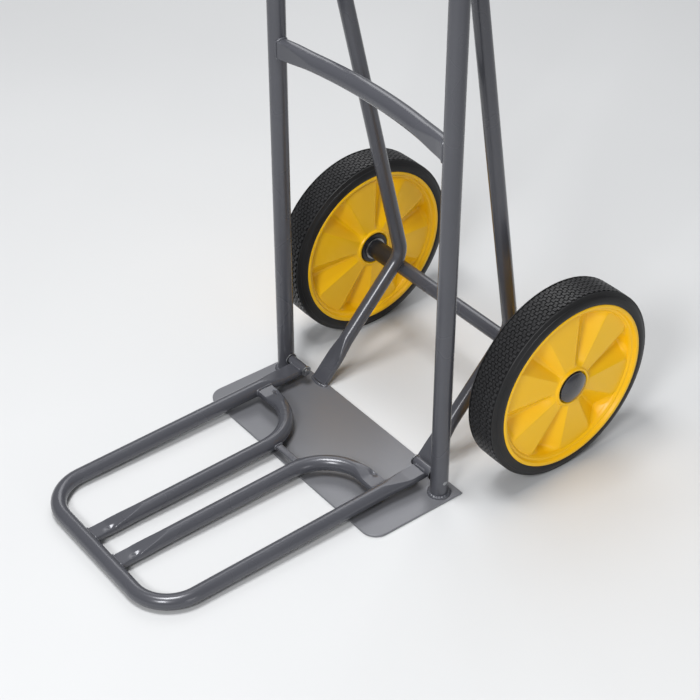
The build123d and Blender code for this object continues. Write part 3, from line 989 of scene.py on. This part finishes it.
@dataclass
class ToePlate:
    """Sheet toe plate with round front corners and softened edges.

    Attributes:
        corner: Radius of the two front corners.
        edge: Radius of the softened edges.
    """

    corner: float = 20 * MM
    edge: float = 0.8 * MM

    def build(self) -> None:
        """Build the plate as outlines stacked from the floor up."""
        low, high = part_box("toe_plate")
        rings = []
        for turn in np.linspace(0, math.pi, 9):
            inset = self.edge * (1 - math.sin(turn))
            rise = self.edge * (1 - math.cos(turn)) if turn < math.pi / 2 else (
                high.z - low.z - self.edge * (1 + math.cos(turn)))
            rings.append(self._outline(low, high, inset, low.z + rise))
        count = len(rings[0])
        faces = grid_faces(len(rings), count, False, flip=True)
        faces.append(tuple(range(count)))
        faces.append(tuple((len(rings) - 1) * count + j for j in range(count))[::-1])
        add_piece("toe_plate_sheet", np.concatenate(rings), faces, Slot.PLATE, Body.FRAME, ["toe_plate"],
                  crease_deg=40)

    def _outline(self, low: Vector, high: Vector, inset: float, z: float) -> np.ndarray:
        """Points round the plate at one height, drawn in from its edge."""
        points = [(high.x - inset, high.y - inset, z), (low.x + inset, high.y - inset, z)]
        radius = self.corner - inset
        for x, start in ((low.x + self.corner, math.pi), (high.x - self.corner, 1.5 * math.pi)):
            for turn in np.linspace(start, start + math.pi / 2, 13):
                points.append((x + radius * math.cos(turn), low.y + self.corner + radius * math.sin(turn), z))
        return np.array(points)


# ---------------------------------------------------------------------------------------------------------
# Folding rack


@dataclass
class Rack:
    """Folding rack: a bent frame, two inner tubes, a strap and its hinge sleeves.

    Attributes:
        lay: Main places.
        diameter: Tube diameter.
        side_clearance: Between an arm and its upright.
        length: Hinge axis to the middle of the front bar.
        drop: Tubes' middle below the hinge axis.
        corner: Radius of the front corners.
        inner_x: Middle of the truck to an inner tube.
        inner_bend: Bend radius of the inner tubes.
        leg_setback: Hinge axis to the legs that run out to the arms.
        strap_setback: Hinge axis to the middle of the strap.
        strap_width: Strap's width along the tubes.
        strap_thickness: Strap's thickness.
        arm_press: Squeeze of the arms' rear ends.
        front_press: Squeeze of the inner tubes' front ends.
        leg_press: Squeeze of the inner tubes' legs.
        arm_end: From the hinge axis forward to the arms' rear ends.
        cope_gap: From the end of an inner tube's centre line to the tube that its shaped end meets.
        weld_radius: Half the width of the beads.
        sleeve_weld_radius: Half the width of the beads before the sleeves.
    """

    lay: Layout
    diameter: float = 19 * MM
    side_clearance: float = 8.5 * MM
    length: float = 381 * MM
    drop: float = 4 * MM
    corner: float = 50 * MM
    inner_x: float = 28 * MM
    inner_bend: float = 64 * MM
    leg_setback: float = 62 * MM
    strap_setback: float = 112 * MM
    strap_width: float = 9 * MM
    strap_thickness: float = 4 * MM
    arm_press: Press = Press(26 * MM, 34 * MM, 9 * MM, 23 * MM)
    front_press: Press = Press(20 * MM, 46 * MM, 8 * MM, 21 * MM, 2.4 * MM, -1)
    leg_press: Press = Press(17 * MM, 24 * MM, 9 * MM, 23 * MM, 1.8 * MM, 1)
    arm_end: float = 1.5 * MM
    cope_gap: float = 0.5 * MM
    weld_radius: float = 1.5 * MM
    sleeve_weld_radius: float = 2.0 * MM

    def __post_init__(self) -> None:
        """Work out how far the rack tips for its front bar to meet the floor."""
        self.radius = self.diameter / 2
        reach = math.hypot(self.length, self.drop)
        self.tip = math.asin((self.lay.hinge.z - self.radius) / reach) - math.atan2(self.drop, self.length)
        self.arm_x = self.lay.upright_x - self.lay.upright_r - self.side_clearance - self.radius
        self.up = (0.0, -math.sin(self.tip), math.cos(self.tip))
        self.back = (0.0, math.cos(self.tip), math.sin(self.tip))

    def at(self, x: float, y: float, z: float) -> tuple[float, float, float]:
        """Turn a place on the level rack into one on the tipped rack."""
        return (x, y * math.cos(self.tip) - z * math.sin(self.tip),
                self.lay.hinge.z + y * math.sin(self.tip) + z * math.cos(self.tip))

    def build(self) -> None:
        """Build the rack and its welds."""
        low, back_end = -self.drop, -self.arm_end
        loop = [self.at(-self.arm_x, back_end, low), self.at(-self.arm_x, -self.length, low),
                self.at(self.arm_x, -self.length, low), self.at(self.arm_x, back_end, low)]
        Tube("rack_loop_tube", Route(loop, self.corner, 3 * MM), self.diameter, self.up, self.arm_press,
             self.arm_press, around=64).build(Slot.TUBE, Body.RACK, ["rack_frame"])
        for name, side in SIDES.items():
            self._inner_tube(name, side)
            self._sleeve(name, side)
        self._strap()

    def _inner_tube(self, name: str, side: int) -> None:
        """Build one inner tube, from the front bar round to its arm."""
        low, gap = -self.drop, self.cope_gap
        x, leg = side * self.inner_x, -self.leg_setback
        route = Route([self.at(x, -self.length + self.radius + gap, low), self.at(x, leg, low),
                       self.at(side * (self.arm_x - self.radius - gap), leg, low)],
                      self.inner_bend, 2.5 * MM, 2.5)
        front_bar = Cylinder(self.at(0, -self.length, low), (1, 0, 0), self.radius)
        arm = Cylinder(self.at(side * self.arm_x, 0, low), self.back, self.radius)
        tube = Tube(f"{name}_inner_rack_tube", route, self.diameter, self.up, self.front_press,
                    replace(self.leg_press, dimple_side=side), front_bar, arm, around=64)
        tube.build(Slot.TUBE, Body.RACK, [f"{name}_inner_tube"])
        Bead(f"{name}_rack_front_weld", tube.rings[0], radius=self.weld_radius).build(Body.RACK)
        Bead(f"{name}_rack_arm_weld", tube.rings[-1], radius=self.weld_radius).build(Body.RACK)

    def _sleeve(self, name: str, side: int) -> None:
        """Build one hinge sleeve and the beads that hold it on the arm's flat."""
        low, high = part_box("right_hinge_sleeve")
        radius = (high.z - low.z) / 2
        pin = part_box("right_hinge_pin")
        bore = (pin[1].z - pin[0].z) / 2 + 0.05 * MM
        ring = [(low.x, bore), (low.x, radius), (high.x, radius), (high.x, bore)]
        turned(f"{name}_hinge_sleeve_tube", ring, Vector((0, self.lay.hinge.y, self.lay.hinge.z)), Slot.TUBE,
               Body.RACK, [f"{name}_hinge_sleeve"], side, 0.6 * MM, 48)
        half = self.arm_press.width / 2 - 1.5 * MM
        top = self.arm_press.thickness / 2 - self.drop
        across = np.linspace(side * (self.arm_x - half), side * (self.arm_x + half), 12)
        seam = np.array([self.at(x, 0.4 * MM - radius, top + 0.3 * MM) for x in across])
        Bead(f"{name}_sleeve_front_weld", seam, False, self.sleeve_weld_radius).build(Body.RACK)

    def _strap(self) -> None:
        """Build the flat strap between the inner tubes."""
        half = self.inner_x - self.radius * 0.8
        w, t, r = self.strap_width / 2, self.strap_thickness / 2, 0.7 * MM
        section = []
        for cx, cz, start in ((w - r, t - r, 0), (-w + r, t - r, 90), (-w + r, -t + r, 180),
                              (w - r, -t + r, 270)):
            for turn in np.radians(np.linspace(start, start + 90, 4)):
                section.append((cx + r * math.cos(turn), cz + r * math.sin(turn)))
        rings = [np.array([self.at(x, -self.strap_setback + a, -self.drop + b) for a, b in section])
                 for x in np.linspace(-half, half, 9)]
        count = len(section)
        faces = grid_faces(len(rings), count, False) + end_caps(len(rings), count)
        add_piece("rack_strap_bar", np.concatenate(rings), faces, Slot.TUBE, Body.RACK, ["rack_strap"])
        for name, side in SIDES.items():
            x = side * (self.inner_x - self.radius - 0.2 * MM)
            seam = np.array([self.at(x, -self.strap_setback + a * 1.05, -self.drop + b * 1.05)
                             for a, b in section])
            Bead(f"{name}_strap_weld", seam, radius=self.weld_radius).build(Body.RACK)


@dataclass
class HingePins:
    """Fixed half of the rack's hinges: pins with their washers and retainers.

    Attributes:
        lay: Main places.
    """

    lay: Layout

    def build(self) -> None:
        """Build the pins with their washers and retainers."""
        centre = Vector((0, self.lay.hinge.y, self.lay.hinge.z))
        low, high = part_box("right_hinge_pin")
        radius = (high.z - low.z) / 2
        dome = [(low.x + 0.9 * MM, radius), (high.x - 0.2 * MM, radius), (high.x + 0.8 * MM, radius * 0.6),
                (high.x + 1.0 * MM, 0.0), (low.x, 0.0), (low.x, radius * 0.72)]
        for name, side in SIDES.items():
            turned(f"{name}_hinge_pin_headed", dome[::-1], centre, Slot.ZINC, Body.FRAME,
                   [f"{name}_hinge_pin"], side, 0.25 * MM, 40)
            for part in ("hinge_washer", "hinge_retainer"):
                start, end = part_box(f"right_{part}")
                rim = (end.z - start.z) / 2
                ring = [(start.x, radius), (start.x, rim), (end.x, rim), (end.x, radius)]
                turned(f"{name}_{part}_turned", ring, centre, Slot.ZINC, Body.FRAME, [f"{name}_{part}"], side,
                       0.4 * MM, 48)


# ---------------------------------------------------------------------------------------------------------
# Wheels


@dataclass
class Wheel:
    """One wheel: moulded rim, solid tyre, two hub bushes and a domed cap.

    Attributes:
        lay: Main places.
        name: Which side it is on.
        side: 1 for the right wheel, or -1 for the left.
        pads: Raised wedges on each face, with as many hollows between them.
        first_edge_deg: Clockwise turn from the top, seen from the right, to the first hollow's edge.
        wall_deg: Share of a hollow's arc that each sloping wall takes.
        hollow_floor: Depth of the hollows' floors below the rim's plane.
        hollow_ramp: Radial run over which a hollow's outer end climbs to the barrel.
        pad_depth_hub: Depth of the wedges below the rim's plane beside the hub.
        pad_depth_rim: The same beside the barrel.
        pad_corner: Radius of the wedges' outer corners.
        lip: Radius of the rim's lip.
        lip_inner: Radius where the lip's flat ends.
        seat: Radius of the hidden seat under the tyre.
        barrel: Radius where the wedges end.
        columns: Points round the rim.
        tread_rows: Rows of blocks across the tread.
        tread_blocks: Blocks round each row.
        tread_depth: Depth of the grooves.
        tread_width: Width of the patterned band.
        tread_step: Sideways step half way along each block.
        tread_groove: Width of the grooves.
        tread_bevel: Width of the softened edges of each block.
        hub_ease: Power by which a hollow deepens from the hub; less than 1 is soonest.
        rim_climb: Share of a hollow's depth lost at its outer end.
        rim_ease: Power of that climb.
        bush_r: Radius of the bushes inside the rim.
        recess: Depth of the flange's seat below the rim's plane.
        cap_rise: Height of the cap's dome.
        cap_wall: Thickness of the cap, which is also the depth of its neck.
    """

    lay: Layout
    name: str
    side: int
    pads: int = 6
    first_edge_deg: float = 3.5
    wall_deg: float = 13.0
    hollow_floor: float = 20.5 * MM
    hollow_ramp: float = 7 * MM
    pad_depth_hub: float = 2.8 * MM
    pad_depth_rim: float = 6.5 * MM
    pad_corner: float = 7 * MM
    lip: float = 109.5 * MM
    lip_inner: float = 105 * MM
    seat: float = 106.5 * MM
    barrel: float = 98 * MM
    columns: int = 480
    tread_rows: int = 6
    tread_blocks: int = 92
    tread_depth: float = 1.7 * MM
    tread_width: float = 37 * MM
    tread_step: float = 1.9 * MM
    tread_groove: float = 0.85 * MM
    tread_bevel: float = 0.3 * MM
    hub_ease: float = 0.55
    rim_climb: float = 0.75
    rim_ease: float = 1.4
    bush_r: float = 15 * MM
    recess: float = 6 * MM
    cap_rise: float = 5 * MM
    cap_wall: float = 1.8 * MM

    def __post_init__(self) -> None:
        """Find the wheel's centre, body and hub sizes from the frame."""
        self.centre = joint_place(f"{self.name}_wheel_spin")
        self.body = Body(f"{self.name}_wheel")
        self.half = self.lay.wheel_width / 2
        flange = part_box("right_outer_bush")
        self.flange_r = (flange[1].z - flange[0].z) / 2
        self.flange_end = flange[1].x - self.lay.wheel_x
        self.bush_start = flange[0].x - self.lay.wheel_x
        self.recess_r = self.flange_r + 1.5 * MM
        self.boss_r = self.recess_r + 3 * MM
        self.floor = self.half - self.recess
        self.bore = self.lay.axle_r + 0.05 * MM

    def build(self) -> None:
        """Build every piece of the wheel."""
        self._rim()
        self._tyre()
        self._hub()

    def _face_depth(self, radius: float, turn: np.ndarray) -> np.ndarray:
        """How far the face lies below the rim's plane between the hub boss and the barrel.

        Args:
            radius: Distance from the axle.
            turn: Angles clockwise from the top, in degrees.

        Returns:
            The depth at each angle.
        """
        start = self.boss_r + 2 * MM
        share = float(np.clip((radius - start) / (self.barrel - start), 0, 1))
        pad = self.pad_depth_hub + (self.pad_depth_rim - self.pad_depth_hub) * share
        pitch = 360 / self.pads
        middle_turn = self.first_edge_deg - pitch / 4
        away = np.abs((turn - middle_turn + pitch / 2) % pitch - pitch / 2)
        half_pad = pitch / 4
        overlap = radius - (self.barrel - self.pad_corner)
        if overlap > 0:
            inside = self.pad_corner ** 2 - min(overlap, self.pad_corner) ** 2
            cut = self.pad_corner - math.sqrt(max(0.0, inside))
            half_pad -= math.degrees(cut / radius)
        slope = np.clip((away - half_pad) / self.wall_deg, 0, 1)
        near_hub = share ** self.hub_ease
        climb = float(np.clip(1 - (self.barrel - radius) / self.hollow_ramp, 0, 1)) ** self.rim_ease
        near_rim = 1 - self.rim_climb * climb
        return pad + (self.hollow_floor - pad) * slope * near_hub * near_rim

    def _rim(self) -> None:
        """Build the moulded rim as one closed skin."""
        turn = 0.5 + np.arange(self.columns) * 360 / self.columns
        flat = np.ones(self.columns)
        seat_edge, boss, lip, inner = self.recess_r, self.boss_r, self.lip, self.lip_inner
        step = (inner + self.barrel) / 2
        # Each list runs outwards, as radius and depth below the rim's plane in millimetres.
        hub_edge = [(self.bush_r, 6.0), (seat_edge - 0.6 * MM, 6.0), (seat_edge, 5.4), (seat_edge, 0.7),
                    (seat_edge + 0.25 * MM, 0.2), (seat_edge + 0.8 * MM, 0.0), (boss - 0.9 * MM, 0.0),
                    (boss - 0.3 * MM, 0.2), (boss, 0.7), (boss + 0.8 * MM, 2.4)]
        lip_edge = [(self.barrel + 0.4 * MM, 6.8), (step - 1.3 * MM, 5.2), (step - 0.9 * MM, 4.5),
                    (inner - 1.9 * MM, 4.4), (inner - 1.5 * MM, 3.9), (inner - 0.3 * MM, 0.9), (inner, 0.5),
                    (inner + 0.6 * MM, 0.08), (inner + 1.2 * MM, 0.0), (lip - 1.0 * MM, 0.0),
                    (lip - 0.3 * MM, 0.25), (lip, 0.9), (lip, 3.0), (self.seat, 3.2)]
        face = np.concatenate([np.linspace(boss + 1.8 * MM, self.barrel - 12 * MM, 26),
                               np.linspace(self.barrel - 11 * MM, self.barrel, 16)])
        front = [(r, flat * depth * MM) for r, depth in hub_edge]
        front += [(r, self._face_depth(r, turn)) for r in face]
        front += [(r, flat * depth * MM) for r, depth in lip_edge]
        rows = []
        sine, cosine = np.sin(np.radians(turn)), np.cos(np.radians(turn))
        for side, half in ((1, front), (-1, front[::-1])):
            for r, depth in half:
                rows.append(np.stack([self.centre.x + side * (self.half - depth), self.centre.y + r * sine,
                                      self.centre.z + r * cosine], 1))
        faces = grid_faces(len(rows), self.columns, True)
        add_piece(f"{self.name}_moulded_rim", np.concatenate(rows), faces, Slot.RIM, self.body,
                  [f"{self.name}_rim"], 50)

    def _tyre(self) -> None:
        """Build the tyre's carcass with its shoulder ridges, then the blocks that stand on it."""
        outer, base = self.lay.wheel_r, self.lay.wheel_r - self.tread_depth
        half, band = self.half, self.tread_width / 2
        # Three runs in millimetres: the ridge past the band, the round shoulder, and the foot on the lip.
        ridge = ((0.7, 0.5), (1.1, 0.35), (1.9, 0.7), (2.1, 1.3))
        shoulder = ((3.6, 3.6), (2.6, 5.4), (1.9, 5.6), (1.2, 6.6), (0.8, 8.2), (0.1, 10.4), (0.0, 12.0))
        foot = ((0.1, 1.0), (0.6, 0.1), (3.0, -0.2))
        right = [(0.0, base), (band + 0.4 * MM, base)]
        right += [(band + x * MM, outer - drop * MM) for x, drop in ridge]
        right += [(half - x * MM, outer - drop * MM) for x, drop in shoulder]
        right += [(half - x * MM, self.lip + rise * MM) for x, rise in foot]
        right.append((half - 3 * MM, self.seat))
        profile = right + [(-x, r) for x, r in right[::-1][:-1]]
        points, faces = revolved(profile[::-1], self.centre, 1, 168)
        blocks, quads = self._blocks(len(points), base, outer)
        add_piece(f"{self.name}_solid_tyre", np.concatenate([points, blocks]), faces + quads, Slot.TYRE,
                  self.body, [f"{self.name}_tyre"], 30)

    def _blocks(self, first: int, base: float, outer: float) -> tuple[np.ndarray, list[tuple]]:
        """Make the staggered tread blocks.

        Args:
            first: Number of the first new point.
            base: Radius of the groove floor.
            outer: Radius of the blocks' tops.

        Returns:
            Points and faces of all the blocks.
        """
        groove, bevel = self.tread_groove, self.tread_bevel
        row_width = (self.tread_width - self.tread_step) / self.tread_rows
        pitch = 2 * math.pi / self.tread_blocks
        half_x, half_t = (row_width - groove) / 2, (pitch * outer - groove) / 2
        chance = np.random.default_rng(7)
        points: list[tuple[float, float, float]] = []
        faces: list[tuple] = []
        for row in range(self.tread_rows):
            # Every other row starts half a block later and steps the other way, so that the rows interlock.
            step = self.tread_step / 2 * (1 if row % 2 else -1)
            outline = [(-half_x - step, -1), (half_x - step, -1), (half_x - step, 0), (half_x + step, 0),
                       (half_x + step, 1), (-half_x + step, 1), (-half_x + step, 0), (-half_x - step, 0)]
            centre_x = (row - (self.tread_rows - 1) / 2) * row_width
            for k in range(self.tread_blocks):
                angle = (k + row % 2 / 2) * pitch
                crown = outer - 0.4 * MM * (2 * centre_x / self.tread_width) ** 2
                crown -= chance.uniform(0, 0.12) * MM
                start = first + len(points)
                for level, shrink in ((base - 0.3 * MM, 0.0), (crown - bevel, 0.1 * MM), (crown, bevel)):
                    for n, (x, along) in enumerate(outline):
                        inward = -1 if n in (1, 2, 3, 4) else 1
                        # The two corners of the step stand off the block's middle, one on each side.
                        late = (1 if step > 0 else -1) * (groove / 2 if n in (2, 3) else -groove / 2)
                        t = angle + (along * (half_t - shrink) if along else late) / outer
                        points.append((self.centre.x + centre_x + x + inward * shrink,
                                       self.centre.y + level * math.sin(t),
                                       self.centre.z + level * math.cos(t)))
                for ring in (start, start + 8):
                    for j in range(8):
                        m = (j + 1) % 8
                        faces.append((ring + j, ring + 8 + j, ring + 8 + m, ring + m))
                top = start + 16
                faces += [(top, top + 7, top + 2, top + 1), (top + 7, top + 6, top + 3, top + 2),
                          (top + 6, top + 5, top + 4, top + 3)]
        return np.array(points), faces

    def _hub(self) -> None:
        """Build the two bushes and the cap."""
        tuck, floor, flange = self.bush_start, self.floor, self.flange_r
        inner_end = self.lay.wheel_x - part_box("right_inner_bush")[0].x
        for part, side, end in (("outer_bush", self.side, self.flange_end),
                                ("inner_bush", -self.side, inner_end)):
            outline = [(tuck, self.bore), (tuck, self.bush_r), (floor, self.bush_r), (floor, flange),
                       (end, flange), (end, self.bore)]
            turned(f"{self.name}_{part}_moulded", outline, self.centre, Slot.NYLON, self.body,
                   [f"{self.name}_{part}"], side, 0.8 * MM, 96)
        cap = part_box("right_hub_cap")
        crown, cap_r = cap[1].x - self.lay.wheel_x, (cap[1].z - cap[0].z) / 2
        rise, shoulder, thick, flange_end = self.cap_rise, cap_r - 0.5 * MM, self.cap_wall, self.flange_end
        skirt, neck = crown - rise, cap_r - thick
        dome_r = (shoulder ** 2 + rise ** 2) / (2 * rise)
        roof = [(crown - dome_r + math.sqrt(dome_r ** 2 - r * r), r) for r in np.linspace(shoulder, 0, 20)]
        outline = [(flange_end, cap_r - thick), (flange_end, cap_r - 0.4 * MM),
                   (flange_end + 0.4 * MM, cap_r),
                   (flange_end + 1.8 * MM, cap_r), (flange_end + 2.2 * MM, neck), (skirt - 1.7 * MM, neck),
                   (skirt - 1.3 * MM, cap_r - 0.2 * MM), (skirt - 0.8 * MM, cap_r), (skirt - 0.3 * MM, cap_r),
                   (skirt, cap_r - 0.2 * MM)]
        outline += roof + [(skirt - thick, 0.0), (skirt - thick, cap_r - thick - 1 * MM),
                           (flange_end + 2 * MM, cap_r - thick - 1 * MM)]
        turned(f"{self.name}_domed_hub_cap", outline, self.centre, Slot.NYLON, self.body,
               [f"{self.name}_hub_cap"], self.side, 0, 96, CAP_NYLON)


# ---------------------------------------------------------------------------------------------------------
# Studio


@dataclass(frozen=True)
class Softbox:
    """A square light: its name, where it hangs, what it looks at, its side in metres and its power."""

    name: str
    place: tuple[float, float, float]
    aim: tuple[float, float, float]
    width: float
    watts: float


@dataclass
class Studio:
    """Plain pale floor, soft lights and the camera.

    Attributes:
        eye: Where the camera stands.
        back: Direction from the subject to the camera.
        lens_mm: Focal length.
        sensor_mm: Width of the sensor.
        room_shade: Colour of the light from all round.
        room_strength: Strength of that light.
        floor_reach: From the middle of the floor to its edge.
        floor_drop: Floor's top below the truck, so that the two never share a face.
        softboxes: The lights.
    """

    eye: tuple[float, float, float] = (1.28252, -1.01039, 1.35470)
    back: tuple[float, float, float] = (0.63075, -0.48978, 0.60184)
    lens_mm: float = 86.29
    sensor_mm: float = 36.0
    room_shade: str = "F2F4F7"
    room_strength: float = 0.30
    floor_reach: float = 12.0
    floor_drop: float = 0.4 * MM
    softboxes: tuple[Softbox, ...] = (
        Softbox("overhead_softbox", (-0.1, -0.5, 2.6), (0.0, 0.0, 0.0), 0.8, 50),
        Softbox("front_softbox", (1.3, -2.3, 2.2), (0.1, 0.0, 0.1), 0.7, 52),
        Softbox("side_softbox", (2.5, -0.2, 0.55), (0.2, 0.15, 0.12), 0.6, 5),
        Softbox("back_left_softbox", (-1.8, 1.7, 2.6), (0.0, 0.0, 0.1), 1.8, 28))

    def build(self) -> None:
        """Build the floor, lights, surroundings and camera."""
        self._floor()
        for softbox in self.softboxes:
            self._light(softbox)
        bpy.context.scene.view_settings.view_transform = "Standard"
        world = bpy.data.worlds.new("pale_room")
        world.use_nodes = True
        background = world.node_tree.nodes["Background"]
        background.inputs["Color"].default_value = linear(self.room_shade)
        background.inputs["Strength"].default_value = self.room_strength
        bpy.context.scene.world = world
        lens = bpy.data.cameras.new("camera")
        lens.lens, lens.sensor_width = self.lens_mm, self.sensor_mm
        camera = bpy.data.objects.new("camera", lens)
        camera.location = self.eye
        camera.rotation_mode = "QUATERNION"
        camera.rotation_quaternion = (-Vector(self.back)).to_track_quat("-Z", "Y")
        bpy.context.scene.collection.objects.link(camera)
        bpy.context.scene.camera = camera

    def _floor(self) -> None:
        """Build a wide painted floor just under the truck."""
        mesh = bpy.data.meshes.new("studio_floor")
        corners = [(self.floor_reach * x, self.floor_reach * y, -self.floor_drop)
                   for x, y in ((-1, -1), (1, -1), (1, 1), (-1, 1))]
        mesh.from_pydata(corners, [], [(0, 1, 2, 3)])
        mesh.materials.append(Paint.of(FLOOR_PAINT))
        floor = bpy.data.objects.new("studio_floor", mesh)
        bpy.context.scene.collection.objects.link(floor)

    def _light(self, softbox: Softbox) -> None:
        """Hang one softbox and turn it to what it looks at."""
        data = bpy.data.lights.new(softbox.name, "AREA")
        data.shape, data.size, data.energy = "SQUARE", softbox.width, softbox.watts
        light = bpy.data.objects.new(softbox.name, data)
        light.location = softbox.place
        light.rotation_mode = "QUATERNION"
        light.rotation_quaternion = (Vector(softbox.aim) - Vector(softbox.place)).to_track_quat("-Z", "Y")
        bpy.context.scene.collection.objects.link(light)


def main() -> None:
    """Build the truck, piece by piece, and the studio round it."""
    logging.basicConfig(level=logging.INFO, format="%(message)s")
    lay = Layout.read()
    Studio().build()
    for part in (Uprights(lay), CrossBars(lay), Braces(lay), Axle(lay), ToePlate(), Rack(lay),
                 HingePins(lay)):
        LOG.info("building %s", type(part).__name__)
        part.build()
    for name, side in SIDES.items():
        Wheel(lay, name, side).build()


if __name__ == "__main__":
    main()
